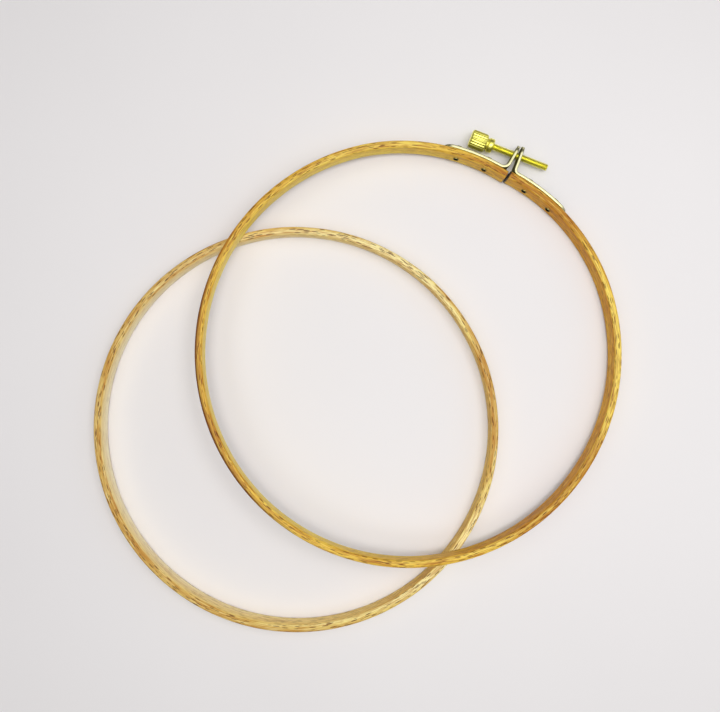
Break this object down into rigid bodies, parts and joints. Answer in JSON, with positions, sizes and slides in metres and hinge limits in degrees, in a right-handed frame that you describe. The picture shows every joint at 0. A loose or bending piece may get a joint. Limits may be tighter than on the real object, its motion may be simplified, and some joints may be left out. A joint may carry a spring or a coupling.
{
  "type": "embroidery hoop",
  "caption": "Round wooden embroidery hoop: a plain inner ring and a split outer ring leaning on it, closed by a knurled brass thumb screw through two bent, riveted ears.",
  "frame": {"origin": "on the surface the hoops lie on, under the middle of the bounding box", "axes": "+Z up from the surface, +X to the right and +Y up in the picture plane of a view from straight above, with the split of the outer hoop towards +X and +Y and the screw head to its left"},
  "size_m": [0.1974, 0.1892, 0.0192],
  "materials": {
    "plain_beech": "bent beech strip, sanded and thinly sealed",
    "varnished_beech": "bent beech strip, satin varnish",
    "plated_steel": "bent strip and rivets, bright pale brass plating",
    "turned_brass": "turned and knurled, bright"
  },
  "bodies": {
    "inner": {"inner_hoop": "plain_beech"},
    "outer": {"outer_hoop": "varnished_beech", "right_bracket": "plated_steel", "right_near_rivet": "plated_steel", "right_far_rivet": "plated_steel"},
    "left_end": {"left_bracket": "plated_steel", "left_near_rivet": "plated_steel", "left_far_rivet": "plated_steel"},
    "shank": {"screw_shank": "turned_brass"},
    "head": {"screw_head": "turned_brass"}
  },
  "joints": [
    {"name": "outer_hoop_lift", "type": "slide", "parent": "inner", "child": "outer", "axis": [0, 0, 1], "range_m": [0, 0.03]},
    {"name": "split_flex", "type": "hinge", "parent": "outer", "child": "left_end", "pos_m": [-0.01654, -0.05612, 0.01478], "axis": [0.0618, 0.0426, 0.9972], "range_deg": [-0.15, 1.85], "stiffness_Nm_per_rad": 0.8, "deforming": ["outer_hoop"]},
    {"name": "screw_advance", "type": "slide", "parent": "outer", "child": "shank", "axis": [0.9347, -0.3528, -0.0429], "range_m": [-0.009, 0.002]},
    {"name": "screw_turn", "type": "hinge", "parent": "shank", "child": "head", "pos_m": [0.06131, 0.08471, 0.00393], "axis": [0.9347, -0.3528, -0.0429], "range_deg": [-6480, 1440]}
  ],
  "couplings": [
    {"joint": "screw_turn", "follows": "screw_advance", "rad_per_m": 12566}
  ]
}
